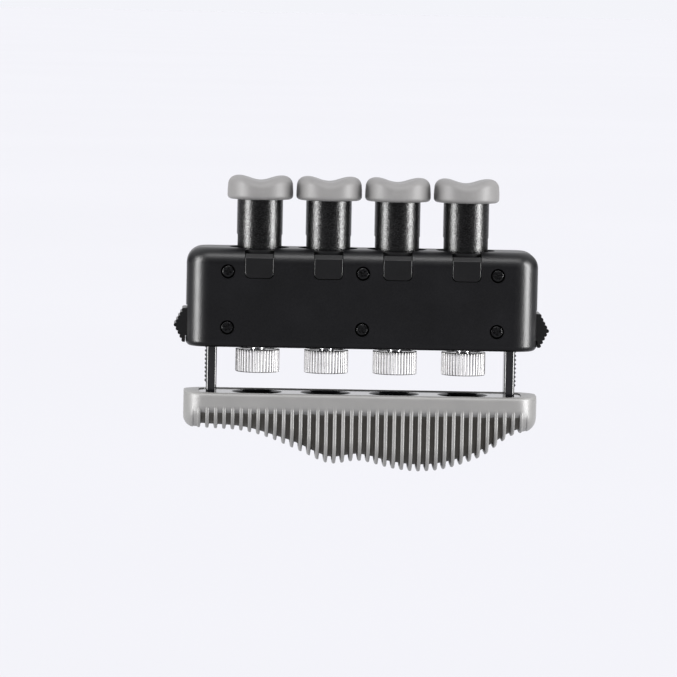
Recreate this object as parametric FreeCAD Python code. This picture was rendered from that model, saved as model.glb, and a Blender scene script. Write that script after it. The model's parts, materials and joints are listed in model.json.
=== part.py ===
import FreeCAD, Part
import math
import os

from FreeCAD import Vector

# A hand-held finger exerciser. Millimetres, +Z up, X along the row of plungers, the screw heads face -Y.
# The origin is under the middle of the housing, at the height of the lowest fin of the palm pad.

# ---- the row of plungers -------------------------------------------------------------------------
FINGERS = 4
FINGER_PITCH = 18.5
FINGER_X = [(k - (FINGERS - 1) / 2) * FINGER_PITCH for k in range(FINGERS)]
SIDES = (-1, 1)

# ---- clearances ----------------------------------------------------------------------------------
RUNNING_GAP = 0.05
SEAM_GAP = 0.15
SLIDE_GAP = 0.1

# ---- housing -------------------------------------------------------------------------------------
BODY_HALF_X = 47.2
BODY_HALF_Y = 10.25
BODY_BOTTOM = 33.05
BODY_TOP = 59.6
WALL = 2.0
BODY_CORNER = 6.5
BODY_TOP_ROUND = 4.3
BODY_BOTTOM_ROUND = 1.5
INNER_X = BODY_HALF_X - WALL
INNER_Y = BODY_HALF_Y - WALL
INNER_BOTTOM = BODY_BOTTOM + WALL
INNER_TOP = BODY_TOP - WALL
SEAM_WIDTH = 0.24
SEAM_DEPTH = 0.2

# ---- housing screws, an M2 cross-recess machine screw ----------------------------------------------
SCREW_PLACES = [(x, z) for z in (38.4, 53.4) for x in (-36.1, 0.0, 36.1)]
SCREW_RADIUS = 1.0
SCREW_HOLE_RADIUS = 1.1
SCREW_HEAD_RADIUS = 1.8
SCREW_HEAD_HEIGHT = 1.1
SCREW_HEAD_SINK = 0.2
SCREW_HEAD_DOME = 0.75
SCREW_END_Y = 6.0
SCREW_BOSS_RADIUS = 1.9
SCREW_POCKET_RADIUS = 1.95
CROSS_WIDTH = 0.5
CROSS_LENGTH = 2.0
CROSS_DEPTH = 0.7
SCREW_FIRST_TURN = 32.0
SCREW_NEXT_TURN = 23.0

# ---- plungers and caps -----------------------------------------------------------------------------
TUBE_RADIUS = 6.15
TUBE_BORE = 4.8
TUBE_BOTTOM = 50.2
TUBE_TOP = 72.5
TUBE_HEAD_THICKNESS = 2.0
FLAT_X = 5.92
FLAT_TOP = 63.4
FLAT_RUNOUT = 0.5
EAR_HALF_X = 3.7
EAR_REACH = 7.6
EAR_TOP = 51.65
SLOT_HALF_X = 1.1
SLOT_TOP = 58.5
SPIGOT_RADIUS = 4.5
SPIGOT_TOP = 75.8
CAP_RADIUS = 8.87
CAP_UPPER_RADIUS = 8.6
CAP_TOP = 78.8
CAP_VALLEY = 77.5
CAP_TOP_ROUND = 2.5
CAP_BOTTOM_ROUND = 0.8

# ---- guide bushings --------------------------------------------------------------------------------
BUSHING_TOP = 59.1
BUSHING_COLLAR_RADIUS = 7.9
BUSHING_FLANGE_RADIUS = 8.9
BUSHING_FLANGE_TOP = INNER_TOP - RUNNING_GAP
BUSHING_FLANGE_BOTTOM = 55.7
TAB_HALF_X = 3.75
TAB_BOTTOM = 51.75
TAB_TOP = 58.2
TAB_INNER_Y = 6.9
TAB_CORNER = 1.4
TAB_BEVEL_Y = 1.1
TAB_BEVEL_Z = 1.1
TAB_EDGE_ROUND = 0.14

# ---- springs, seats, tension screws and knobs ------------------------------------------------------
THREAD_RADIUS = 2.0
SEAT_BOTTOM = 36.5
SEAT_TOP = 39.5
SEAT_RADIUS = 4.6
SEAT_BOSS_RADIUS = 3.0
SEAT_BOSS_TOP = 41.0
WING_HALF_X = 1.0
WING_REACH = 8.1
SPRING_WIRE = 1.0
SPRING_OUTER_RADIUS = 4.2
SPRING_TURNS = 11
SPINDLE_BOTTOM = 28.0
SPINDLE_TOP = 47.0
SPINDLE_BEVEL = 0.5
COLLAR_RADIUS = 3.2
COLLAR_BOTTOM = INNER_BOTTOM + RUNNING_GAP
COLLAR_TOP = 36.2
SPINDLE_HOLE_RADIUS = THREAD_RADIUS + SLIDE_GAP
KNOB_RADIUS = 6.0
KNOB_BOTTOM = 26.0
KNOB_TOP = 32.2
KNOB_BEVEL = 0.6
KNOB_FLUTES = 40
KNOB_FLUTE_RADIUS = 0.3
KNOB_DISH_RADIUS = 4.2
KNOB_DISH_DEPTH = 0.4

# ---- guide rails inside the housing ----------------------------------------------------------------
RAIL_TOP = 50.0
EAR_RAIL_INNER = EAR_HALF_X + SLIDE_GAP
EAR_RAIL_WIDTH = 1.0
EAR_RAIL_REACH = 6.5
WING_RAIL_INNER = WING_HALF_X + SLIDE_GAP
WING_RAIL_WIDTH = 1.0
WING_RAIL_REACH = 7.7

# ---- palm rest -------------------------------------------------------------------------------------
PAD_TOP = 20.5
PAD_HALF_X = 47.5
PAD_HALF_Y = 10.2
PAD_CORNER = 6.5
PAD_TOP_ROUND = 1.0
FIN_PITCH = 2.28
FIN_WIDTH = 0.92
FIN_DEPTH = 1.5
FINS_EACH_WAY = 20
FIN_SIDE_ROUND = 6.0
FIN_BAND_BOTTOM = 15.8
END_WALL_X = 45.2
# The wavy underside of the fins, from the left end to the right: a hollow for each finger pad.
PAD_UNDERSIDE = [
    (-PAD_HALF_X, 11.2), (-40.0, 10.9), (-32.0, 10.3), (-25.0, 8.6), (-16.0, 5.0), (-10.5, 2.5),
    (-7.1, 1.73), (0.0, 2.6), (8.8, 0.7), (15.6, 0.0), (22.6, 0.7), (29.2, 2.7), (34.0, 4.9),
    (38.4, 8.4), (41.5, 10.3), (PAD_HALF_X, 11.9),
]
PLATE_HALF_X = 43.4
PLATE_HALF_Y = 8.6
PLATE_CORNER = 5.0
PLATE_BOTTOM = 18.0
POCKET_RADIUS = 6.5
POCKET_BOTTOM = 13.7
POCKET_WALL = 1.1
POCKET_FLOOR = 1.2
POCKET_BEVEL = 0.4

# ---- posts and racks -------------------------------------------------------------------------------
POST_INNER_X = 38.7
POST_OUTER_X = 41.55
POST_HALF_Y = 3.5
POST_BOTTOM = 16.5
POST_TOP = 45.8
POST_EDGE_ROUND = 0.8
POST_HEAD_BOTTOM = 44.3
POST_HEAD_HALF_Y = 4.6
POST_SOCKET_BOTTOM = 15.0
POST_SOCKET_HALF_Y = 5.5
POST_SOCKET_X = (36.9, 43.2)
POST_SLOT_GAP = 0.15
POST_GUIDE_TOP = 41.9
POST_GUIDE_WALL = 1.6
RACK_PITCH = 1.14
RACK_DEPTH = 0.4
RACK_HALF_Y = 1.9
RACK_TOOTH_HALF = 0.5
RACK_CREST_HALF = 0.05
RACK_TEETH_BELOW = 12
RACK_TEETH_ABOVE = 4
POST_SCREW_RADIUS = 0.8
POST_SCREW_HEAD_RADIUS = 1.6
POST_SCREW_HEAD_BOTTOM = 13.9
POST_SCREW_TOP = 24.0
POST_CENTRE_X = (POST_INNER_X + POST_OUTER_X) / 2

# ---- thumb locks -----------------------------------------------------------------------------------
PIVOT_X = 43.9
PIVOT_Z = 38.5
PIN_RADIUS = 0.8
PIN_HALF_LENGTH = 8.2
PIN_HOLE_GAP = 0.025
HUB_RADIUS = 1.6
HUB_HALF_Y = 4.4
PAWL_Z = 36.6
PAWL_HALF_Y = 1.8
PAWL_TIP_X = POST_OUTER_X + SLIDE_GAP
PAWL_SHOULDER_X = POST_OUTER_X + RACK_DEPTH + SLIDE_GAP
PAWL_TIP_HALF = 0.12
PAWL_ROOT_HALF = 0.5
THUMB_BOTTOM = 34.0
THUMB_TOP = 43.1
THUMB_HALF_Y = 5.6
THUMB_END_PROUD = 1.1
THUMB_APEX_PROUD = 3.2
THUMB_RIDGES = 9
THUMB_RIDGE_RADIUS = 0.5
THUMB_VALLEY_DEPTH = 0.36
THUMB_BACK_X = 45.9
THUMB_SKIRT_X = BODY_HALF_X + SEAM_GAP
THUMB_SKIRT_TOP = 35.8
WINDOW_HALF_Y = THUMB_HALF_Y + SEAM_GAP
WINDOW_BOTTOM = 35.6
WINDOW_TOP = 44.0
WINDOW_INNER_X = 44.4
LUG_INNER_Y = 4.8
LUG_X = 42.5
LUG_BOTTOM = 36.8
LUG_TOP = 40.2
LOCK_SPRING_Z = 42.0
LOCK_SPRING_RADIUS = 1.1
LOCK_SPRING_WIRE = 0.35
LOCK_SPRING_TURNS = 4
LOCK_BRIDGE_X = (42.3, 43.1)
LOCK_BRIDGE_Z = (40.8, 43.2)

NEAR = 1e-4


# ---- building blocks -------------------------------------------------------------------------------
def box(x, y, z):
    """A block between two values on each axis."""
    size = [high - low for low, high in (x, y, z)]
    return Part.makeBox(*size, Vector(x[0], y[0], z[0]))


def rod(radius, bottom, top, x=0.0):
    """An upright cylinder."""
    return Part.makeCylinder(radius, top - bottom, Vector(x, 0, bottom))


def cross_rod(radius, front, back, x, z):
    """A cylinder along Y."""
    return Part.makeCylinder(radius, back - front, Vector(x, front, z), Vector(0, 1, 0))


def outline(points):
    """A face bounded by straight lines."""
    return Part.Face(Part.makePolygon([*points, points[0]]))


def lathe(profile):
    """A solid of revolution about Z from (radius, height) corners."""
    return outline([Vector(r, 0, z) for r, z in profile]).revolve(Vector(), Vector(0, 0, 1), 360)


def across(profile, half_y):
    """A solid from (x, z) corners that runs from -half_y to half_y."""
    return outline([Vector(x, -half_y, z) for x, z in profile]).extrude(Vector(0, 2 * half_y, 0))


def level_edges(shape, z):
    """The edges that lie wholly at one height."""
    return [e for e in shape.Edges if abs(e.BoundBox.ZMin - z) < NEAR and abs(e.BoundBox.ZMax - z) < NEAR]


def upright_edges(shape):
    """The straight edges along Z."""
    return [e for e in shape.Edges if e.BoundBox.XLength < NEAR and e.BoundBox.YLength < NEAR]


def rounded_block(half_x, half_y, bottom, top, corner, top_round=0.0, bottom_round=0.0):
    """A block with rounded upright corners and, where asked, rounded top and bottom edges."""
    block = box((-half_x, half_x), (-half_y, half_y), (bottom, top))
    block = block.makeFillet(corner, upright_edges(block))
    if top_round:
        block = block.makeFillet(top_round, level_edges(block, top))
    if bottom_round:
        block = block.makeFillet(bottom_round, level_edges(block, bottom))
    return block


def fuse(shapes):
    """One shape from several that touch or overlap."""
    return shapes[0].multiFuse(shapes[1:]).removeSplitter()


def at_x(shape, x):
    """A copy moved along X."""
    return shape.translated(Vector(x, 0, 0))


def each_finger(shape):
    """A copy at each plunger."""
    return [at_x(shape, x) for x in FINGER_X]


def mirror_x(shape):
    """A copy on the other end of the object."""
    return shape.mirror(Vector(), Vector(1, 0, 0))


def both_ends(shape):
    """A shape made for the right end, and its mirror image on the left."""
    return [shape, mirror_x(shape)]


def front_and_back(half_x, y, z, x=0.0):
    """Two equal blocks, one on each side of the middle plane."""
    near = box((x - half_x, x + half_x), (-y[1], -y[0]), z)
    far = box((x - half_x, x + half_x), y, z)
    return [near, far]


def spring(mean_radius, wire, turns, length):
    """A coil of round wire that fits between two faces, from Z = 0 up to the length."""
    height = length - wire - 2 * RUNNING_GAP
    helix = Part.makeHelix(height / turns, height, mean_radius)
    circle = Part.makeCircle(wire / 2, Vector(mean_radius, 0, 0), Vector(0, 1, 0))
    coil = Part.Wire(helix.Edges).makePipeShell([Part.Wire([circle])], True, True)
    return coil.translated(Vector(0, 0, wire / 2 + RUNNING_GAP))


# ---- housing ---------------------------------------------------------------------------------------
def tab_notches():
    """The U-shaped notches in the front and back walls that a bushing's tabs sit in."""
    bottom = TAB_BOTTOM - SEAM_GAP
    pair = []
    for block in front_and_back(TAB_HALF_X + SEAM_GAP, (TAB_INNER_Y - SEAM_GAP, BODY_HALF_Y + WALL),
                                (bottom, BODY_TOP + WALL)):
        lower = [e for e in level_edges(block, bottom) if e.BoundBox.XLength < NEAR]
        pair.append(block.makeFillet(TAB_CORNER, lower))
    return pair


def housing_outside(shrink=0.0):
    """The rounded outer form of the housing."""
    return rounded_block(BODY_HALF_X - shrink, BODY_HALF_Y - shrink, BODY_BOTTOM + shrink,
                         BODY_TOP - shrink, BODY_CORNER - shrink, BODY_TOP_ROUND - shrink,
                         BODY_BOTTOM_ROUND - shrink)


def plunger_rails():
    """The ribs that guide one plunger's ears and its spring seat's wings."""
    height = (INNER_BOTTOM - RUNNING_GAP, RAIL_TOP)
    ribs = []
    for inner, width, reach in ((EAR_RAIL_INNER, EAR_RAIL_WIDTH, EAR_RAIL_REACH),
                                (WING_RAIL_INNER, WING_RAIL_WIDTH, WING_RAIL_REACH)):
        for side in SIDES:
            centre = side * (inner + width / 2)
            ribs += front_and_back(width / 2, (reach, INNER_Y + RUNNING_GAP), height, centre)
    return ribs


def lock_ribs():
    """The ribs at the right end that guide the post and hold the lock's pin and spring."""
    back = INNER_Y + RUNNING_GAP
    guide_inner = POST_HALF_Y + POST_SLOT_GAP
    guide_half = POST_GUIDE_WALL / 2
    guides = front_and_back(guide_half, (guide_inner, back), (INNER_BOTTOM - RUNNING_GAP, POST_GUIDE_TOP),
                            POST_CENTRE_X)
    lug_half = (INNER_X - LUG_X) / 2 + RUNNING_GAP
    lugs = front_and_back(lug_half, (LUG_INNER_Y, back), (LUG_BOTTOM, LUG_TOP), LUG_X + lug_half)
    bridge = box(LOCK_BRIDGE_X, (-back, back), LOCK_BRIDGE_Z)
    return [*guides, *lugs, bridge]


def housing_openings():
    """Everything that is cut out of the housing's walls."""
    plunger_hole = rod(BUSHING_COLLAR_RADIUS + SLIDE_GAP, INNER_TOP - RUNNING_GAP, BODY_TOP + WALL)
    spindle_hole = rod(SPINDLE_HOLE_RADIUS, BODY_BOTTOM - WALL, INNER_BOTTOM + RUNNING_GAP)
    cuts = []
    for shape in (plunger_hole, spindle_hole, *tab_notches()):
        cuts += each_finger(shape)
    gap = POST_SLOT_GAP
    slot = box((POST_INNER_X - gap, POST_OUTER_X + RACK_DEPTH + gap), (-POST_HALF_Y - gap, POST_HALF_Y + gap),
               (BODY_BOTTOM - WALL, INNER_BOTTOM + RUNNING_GAP))
    window = box((WINDOW_INNER_X, BODY_HALF_X + WALL), (-WINDOW_HALF_Y, WINDOW_HALF_Y),
                 (WINDOW_BOTTOM, WINDOW_TOP))
    return cuts + both_ends(slot) + both_ends(window)


def screw_holes():
    """The pocket, the clearance hole and the threaded hole of each housing screw."""
    cuts = []
    for x, z in SCREW_PLACES:
        pocket_floor = -BODY_HALF_Y + SCREW_HEAD_HEIGHT + SCREW_HEAD_SINK
        cuts.append(cross_rod(SCREW_POCKET_RADIUS, -BODY_HALF_Y - WALL, pocket_floor, x, z))
        cuts.append(cross_rod(SCREW_HOLE_RADIUS, -BODY_HALF_Y, 0, x, z))
        cuts.append(cross_rod(SCREW_RADIUS, 0, SCREW_END_Y + WALL / 2, x, z))
    return cuts


def housing():
    """The two shells, front then back, cut apart on the middle plane."""
    outside = housing_outside()
    inside = rounded_block(INNER_X, INNER_Y, INNER_BOTTOM, INNER_TOP, BODY_CORNER - WALL)
    shell = outside.cut(inside)
    seam = outside.cut(housing_outside(SEAM_DEPTH))
    seam = seam.common(box((-BODY_HALF_X, BODY_HALF_X), (-SEAM_WIDTH / 2, SEAM_WIDTH / 2), (0, BODY_TOP)))
    shell = shell.cut([*housing_openings(), seam])
    ribs = [rib for rails in map(each_finger, plunger_rails()) for rib in rails]
    for rib in lock_ribs():
        ribs += both_ends(rib)
    depth = INNER_Y + RUNNING_GAP
    bosses = [cross_rod(SCREW_BOSS_RADIUS, -depth, depth, x, z) for x, z in SCREW_PLACES]
    pin_hole = cross_rod(PIN_RADIUS + PIN_HOLE_GAP, -PIN_HALF_LENGTH, PIN_HALF_LENGTH, PIVOT_X, PIVOT_Z)
    whole = fuse([shell, *ribs, *bosses]).cut([*screw_holes(), *both_ends(pin_hole)])
    reach = BODY_HALF_X + WALL
    front = whole.common(box((-reach, reach), (-reach, 0), (0, reach + BODY_TOP)))
    back = whole.common(box((-reach, reach), (0, reach), (0, reach + BODY_TOP)))
    return front, back


def housing_screw():
    """A domed head with a cross recess, and a plain shank, along Y with the head at -Y."""
    face = -BODY_HALF_Y + SCREW_HEAD_SINK
    shank = cross_rod(SCREW_RADIUS, face + SCREW_HEAD_HEIGHT - RUNNING_GAP, SCREW_END_Y, 0, 0)
    head = cross_rod(SCREW_HEAD_RADIUS, face, face + SCREW_HEAD_HEIGHT, 0, 0)
    rim = [e for e in head.Edges if abs(e.BoundBox.YMax - face) < NEAR and e.BoundBox.XLength > NEAR]
    head = head.makeFillet(SCREW_HEAD_DOME, rim)
    long, thin = CROSS_LENGTH / 2, CROSS_WIDTH / 2
    depth = (face - WALL, face + CROSS_DEPTH)
    cross = [box((-long, long), depth, (-thin, thin)), box((-thin, thin), depth, (-long, long))]
    return fuse([head, shank]).cut(cross)


def housing_screws():
    """All six housing screws, as separate solids."""
    screw = housing_screw()
    placed = []
    for k, (x, z) in enumerate(SCREW_PLACES):
        turned = screw.rotated(Vector(), Vector(0, 1, 0), SCREW_FIRST_TURN + k * SCREW_NEXT_TURN)
        placed.append(turned.translated(Vector(x, 0, z)))
    return Part.makeCompound(placed)


# ---- plungers --------------------------------------------------------------------------------------
def plunger_flat():
    """What is cut away for the flat on the right side of a plunger, with a short slope at its top."""
    past = TUBE_RADIUS + WALL
    return across([(FLAT_X, TUBE_BOTTOM - WALL), (past, TUBE_BOTTOM - WALL), (past, FLAT_TOP + past - FLAT_X),
                   (FLAT_X, FLAT_TOP - FLAT_RUNOUT)], TUBE_RADIUS)


def plunger():
    """A slotted tube with side flats, ears front and back at its foot, a closed head and a spigot."""
    tube = fuse([rod(TUBE_RADIUS, TUBE_BOTTOM, TUBE_TOP), rod(SPIGOT_RADIUS, TUBE_BOTTOM, SPIGOT_TOP)])
    ears = box((-EAR_HALF_X, EAR_HALF_X), (-EAR_REACH, EAR_REACH), (TUBE_BOTTOM, EAR_TOP))
    bore = rod(TUBE_BORE, TUBE_BOTTOM - WALL, TUBE_TOP - TUBE_HEAD_THICKNESS)
    slot = box((-SLOT_HALF_X, SLOT_HALF_X), (-EAR_REACH - WALL, EAR_REACH + WALL), (0, SLOT_TOP))
    return fuse([tube, ears]).cut([bore, slot, *both_ends(plunger_flat())])


def cap():
    """A round rubber cap with a hollow across its top for the fingertip."""
    blank = lathe([(0, TUBE_TOP), (CAP_RADIUS, TUBE_TOP), (CAP_UPPER_RADIUS, CAP_TOP), (0, CAP_TOP)])
    blank = blank.makeFillet(CAP_TOP_ROUND, level_edges(blank, CAP_TOP))
    blank = blank.makeFillet(CAP_BOTTOM_ROUND, level_edges(blank, TUBE_TOP))
    half_span = CAP_UPPER_RADIUS - CAP_TOP_ROUND
    sag = CAP_TOP - CAP_VALLEY
    saddle_radius = (half_span ** 2 + sag ** 2) / (2 * sag)
    saddle = cross_rod(saddle_radius, -CAP_RADIUS, CAP_RADIUS, 0, CAP_VALLEY + saddle_radius)
    return blank.cut(saddle).cut(rod(SPIGOT_RADIUS, TUBE_TOP - WALL, SPIGOT_TOP))


def guide_bushing():
    """A collar that guides the plunger, flanged under the top wall, with a tab front and back."""
    collar = rod(BUSHING_COLLAR_RADIUS, BUSHING_FLANGE_BOTTOM, BUSHING_TOP)
    flange = rod(BUSHING_FLANGE_RADIUS, BUSHING_FLANGE_BOTTOM, BUSHING_FLANGE_TOP)
    width = INNER_Y - SLIDE_GAP
    flange = flange.common(box((-INNER_X, INNER_X), (-width, width), (0, BODY_TOP)))
    front = bushing_tab()
    back = front.mirror(Vector(), Vector(0, 1, 0))
    bore = rod(TUBE_RADIUS + RUNNING_GAP, BUSHING_FLANGE_BOTTOM - WALL, BODY_TOP + WALL)
    return fuse([collar, flange, front, back]).cut(bore)


def bushing_tab():
    """The front tab: rounded lower corners, a broad bevel at the top and softened outer edges."""
    face = -BODY_HALF_Y
    profile = [(-TAB_INNER_Y, TAB_BOTTOM), (face, TAB_BOTTOM), (face, TAB_TOP - TAB_BEVEL_Z),
               (face + TAB_BEVEL_Y, TAB_TOP), (-TAB_INNER_Y, TAB_TOP)]
    corners = [Vector(-TAB_HALF_X, y, z) for y, z in profile]
    tab = outline(corners).extrude(Vector(2 * TAB_HALF_X, 0, 0))
    lower = [e for e in level_edges(tab, TAB_BOTTOM) if e.BoundBox.XLength < NEAR]
    tab = tab.makeFillet(TAB_CORNER, lower)
    rim = [e for e in tab.Edges if e.BoundBox.YMax < face + TAB_BEVEL_Y + NEAR]
    return tab.makeFillet(TAB_EDGE_ROUND, rim)


# ---- springs and tension parts ---------------------------------------------------------------------
def plunger_spring():
    """The spring between a seat and the head of its plunger."""
    length = TUBE_TOP - TUBE_HEAD_THICKNESS - SEAT_TOP
    coil = spring(SPRING_OUTER_RADIUS - SPRING_WIRE / 2, SPRING_WIRE, SPRING_TURNS, length)
    return coil.translated(Vector(0, 0, SEAT_TOP))


def spring_seat():
    """A nut with two wings that run in the housing's rails."""
    disc = rod(SEAT_RADIUS, SEAT_BOTTOM, SEAT_TOP)
    boss = rod(SEAT_BOSS_RADIUS, SEAT_BOTTOM, SEAT_BOSS_TOP)
    wings = box((-WING_HALF_X, WING_HALF_X), (-WING_REACH, WING_REACH), (SEAT_BOTTOM, SEAT_TOP))
    return fuse([disc, boss, wings]).cut(rod(THREAD_RADIUS + RUNNING_GAP, 0, BODY_TOP))


def tension_screw():
    """The spindle of a knob, with the collar that rests on the housing's floor."""
    spindle = rod(THREAD_RADIUS, SPINDLE_BOTTOM, SPINDLE_TOP)
    spindle = spindle.makeChamfer(SPINDLE_BEVEL, level_edges(spindle, SPINDLE_TOP))
    return fuse([spindle, rod(COLLAR_RADIUS, COLLAR_BOTTOM, COLLAR_TOP)])


def tension_knob():
    """A fluted knob with bevelled rims and a shallow dish in its lower face."""
    blank = rod(KNOB_RADIUS, KNOB_BOTTOM, KNOB_TOP)
    rims = level_edges(blank, KNOB_BOTTOM) + level_edges(blank, KNOB_TOP)
    blank = blank.makeChamfer(KNOB_BEVEL, rims)
    flutes = []
    for k in range(KNOB_FLUTES):
        flute = rod(KNOB_FLUTE_RADIUS, KNOB_BOTTOM - WALL, KNOB_TOP + WALL, KNOB_RADIUS)
        flutes.append(flute.rotated(Vector(), Vector(0, 0, 1), 360 * k / KNOB_FLUTES))
    dish = rod(KNOB_DISH_RADIUS, KNOB_BOTTOM - WALL, KNOB_BOTTOM + KNOB_DISH_DEPTH)
    return blank.cut([*flutes, dish, rod(THREAD_RADIUS, SPINDLE_BOTTOM, KNOB_TOP)])


# ---- palm rest -------------------------------------------------------------------------------------
def underside(x):
    """The height of the fins' lower edge at a place along the pad, on one smooth curve."""
    points = PAD_UNDERSIDE
    k = max(i for i in range(len(points) - 1) if points[i][0] <= x + NEAR)
    around = [points[max(0, min(len(points) - 1, j))] for j in range(k - 1, k + 3)]
    span = around[2][0] - around[1][0]
    slopes = [(around[j + 1][1] - around[j - 1][1]) / (around[j + 1][0] - around[j - 1][0]) for j in (1, 2)]
    t = (x - around[1][0]) / span
    start = (2 * t ** 3 - 3 * t ** 2 + 1) * around[1][1] + (t ** 3 - 2 * t ** 2 + t) * span * slopes[0]
    end = (3 * t ** 2 - 2 * t ** 3) * around[2][1] + (t ** 3 - t ** 2) * span * slopes[1]
    return start + end


def pad_slab(x, low, half_y=PAD_HALF_Y):
    """A slice of the pad between two values of X, with its lower front and back edges rounded."""
    r = min(FIN_SIDE_ROUND, FIN_BAND_BOTTOM - low)
    inset = half_y - r
    lean = r * math.sqrt(0.5)

    def at(y, z):
        return Vector(x[0], y, z)

    edges = [
        Part.makeLine(at(-half_y, PAD_TOP), at(-half_y, low + r)),
        Part.Arc(at(-half_y, low + r), at(-inset - lean, low + r - lean), at(-inset, low)).toShape(),
        Part.makeLine(at(-inset, low), at(inset, low)),
        Part.Arc(at(inset, low), at(inset + lean, low + r - lean), at(half_y, low + r)).toShape(),
        Part.makeLine(at(half_y, low + r), at(half_y, PAD_TOP)),
        Part.makeLine(at(half_y, PAD_TOP), at(-half_y, PAD_TOP)),
    ]
    return Part.Face(Part.Wire(edges)).extrude(Vector(x[1] - x[0], 0, 0))


def plate_blank():
    """The plate with its cups and post sockets, before anything is hollowed out."""
    slab = rounded_block(PLATE_HALF_X, PLATE_HALF_Y, PLATE_BOTTOM, PAD_TOP, PLATE_CORNER)
    cup = rod(POCKET_RADIUS + POCKET_WALL, POCKET_BOTTOM - POCKET_FLOOR, PLATE_BOTTOM + POCKET_FLOOR)
    socket = box(POST_SOCKET_X, (-POST_SOCKET_HALF_Y, POST_SOCKET_HALF_Y),
                 (POST_SOCKET_BOTTOM, PLATE_BOTTOM + POCKET_FLOOR))
    return fuse([slab, *each_finger(cup), *both_ends(socket)])


def pad_plate(blank):
    """The plate with a pocket for each knob and a socket for each post."""
    mouth = PAD_TOP + POCKET_BEVEL
    pocket = lathe([(0, POCKET_BOTTOM), (POCKET_RADIUS, POCKET_BOTTOM),
                    (POCKET_RADIUS, PAD_TOP - POCKET_BEVEL),
                    (POCKET_RADIUS + 2 * POCKET_BEVEL, mouth), (0, mouth)])
    socket = box((POST_INNER_X, POST_OUTER_X), (-POST_HALF_Y, POST_HALF_Y), (POST_BOTTOM, PAD_TOP + WALL))
    hole = rod(POST_SCREW_RADIUS + RUNNING_GAP, POST_SOCKET_BOTTOM - WALL, POST_BOTTOM + WALL, POST_CENTRE_X)
    return blank.cut([*each_finger(pocket), *both_ends(socket), *both_ends(hole)])


def palm_pad(blank):
    """The rubber pad: a core that follows the fins' roots, a plain band above, and thin fins across it."""
    half = FIN_WIDTH / 2
    slabs = []
    for k in range(-FINS_EACH_WAY, FINS_EACH_WAY + 1):
        x = k * FIN_PITCH
        slabs.append(pad_slab((x - half, x + half), underside(x)))
    roots = [k * FIN_PITCH for k in range(-FINS_EACH_WAY, FINS_EACH_WAY + 1)]
    bounds = [-PAD_HALF_X, *roots, PAD_HALF_X]
    for left, right in zip(bounds, bounds[1:]):
        middle = (left + right) / 2
        root_depth = 0.0 if abs(middle) > END_WALL_X else FIN_DEPTH
        slabs.append(pad_slab((left, right), underside(middle) + root_depth, PAD_HALF_Y - root_depth))
    slabs.append(box((-PAD_HALF_X, PAD_HALF_X), (-PAD_HALF_Y, PAD_HALF_Y), (FIN_BAND_BOTTOM, PAD_TOP)))
    skin = rounded_block(PAD_HALF_X, PAD_HALF_Y, -WALL, PAD_TOP, PAD_CORNER, PAD_TOP_ROUND)
    head_room = rod(POST_SCREW_HEAD_RADIUS + SLIDE_GAP, POST_SCREW_HEAD_BOTTOM - SLIDE_GAP, PLATE_BOTTOM,
                    POST_CENTRE_X)
    return fuse(slabs).common(skin).cut([blank, *both_ends(head_room)])


def post():
    """The right post: a rounded bar with a wider head that stops it, and rack teeth on its outer face."""
    bar = box((POST_INNER_X, POST_OUTER_X), (-POST_HALF_Y, POST_HALF_Y), (PAD_TOP, POST_TOP))
    bar = bar.makeFillet(POST_EDGE_ROUND, upright_edges(bar))
    foot = box((POST_INNER_X, POST_OUTER_X), (-POST_HALF_Y, POST_HALF_Y), (POST_BOTTOM, PAD_TOP))
    head = box((POST_INNER_X, POST_OUTER_X), (-POST_HEAD_HALF_Y, POST_HEAD_HALF_Y),
               (POST_HEAD_BOTTOM, POST_TOP))
    head = head.makeFillet(POST_EDGE_ROUND, upright_edges(head))
    teeth = []
    for k in range(-RACK_TEETH_BELOW, RACK_TEETH_ABOVE):
        z = PAWL_Z + (k + 0.5) * RACK_PITCH
        root = POST_OUTER_X - RUNNING_GAP
        teeth.append(across([(root, z - RACK_TOOTH_HALF), (POST_OUTER_X, z - RACK_TOOTH_HALF),
                             (POST_OUTER_X + RACK_DEPTH, z - RACK_CREST_HALF),
                             (POST_OUTER_X + RACK_DEPTH, z + RACK_CREST_HALF),
                             (POST_OUTER_X, z + RACK_TOOTH_HALF), (root, z + RACK_TOOTH_HALF)], RACK_HALF_Y))
    hole = rod(POST_SCREW_RADIUS, POST_BOTTOM - WALL, POST_SCREW_TOP + SLIDE_GAP, POST_CENTRE_X)
    return fuse([bar, foot, head, *teeth]).cut(hole)


def post_screws():
    """The two screws that hold the posts, as separate solids."""
    shank = rod(POST_SCREW_RADIUS, POST_SOCKET_BOTTOM, POST_SCREW_TOP, POST_CENTRE_X)
    head = rod(POST_SCREW_HEAD_RADIUS, POST_SCREW_HEAD_BOTTOM, POST_SOCKET_BOTTOM, POST_CENTRE_X)
    return Part.makeCompound(both_ends(fuse([shank, head])))


# ---- thumb locks -----------------------------------------------------------------------------------
def ridge_centres():
    """The (x, z) centre of each rounded ridge of the thumb piece, from the bottom to the top."""
    middle = (THUMB_BOTTOM + THUMB_TOP) / 2
    reach = (THUMB_TOP - THUMB_BOTTOM) / 2 - THUMB_RIDGE_RADIUS
    steps = THUMB_RIDGES // 2
    centres = []
    for k in range(-steps, steps + 1):
        share = k / steps
        proud = THUMB_APEX_PROUD - (THUMB_APEX_PROUD - THUMB_END_PROUD) * abs(share)
        centres.append((BODY_HALF_X + proud - THUMB_RIDGE_RADIUS, middle + reach * share))
    return centres


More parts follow.
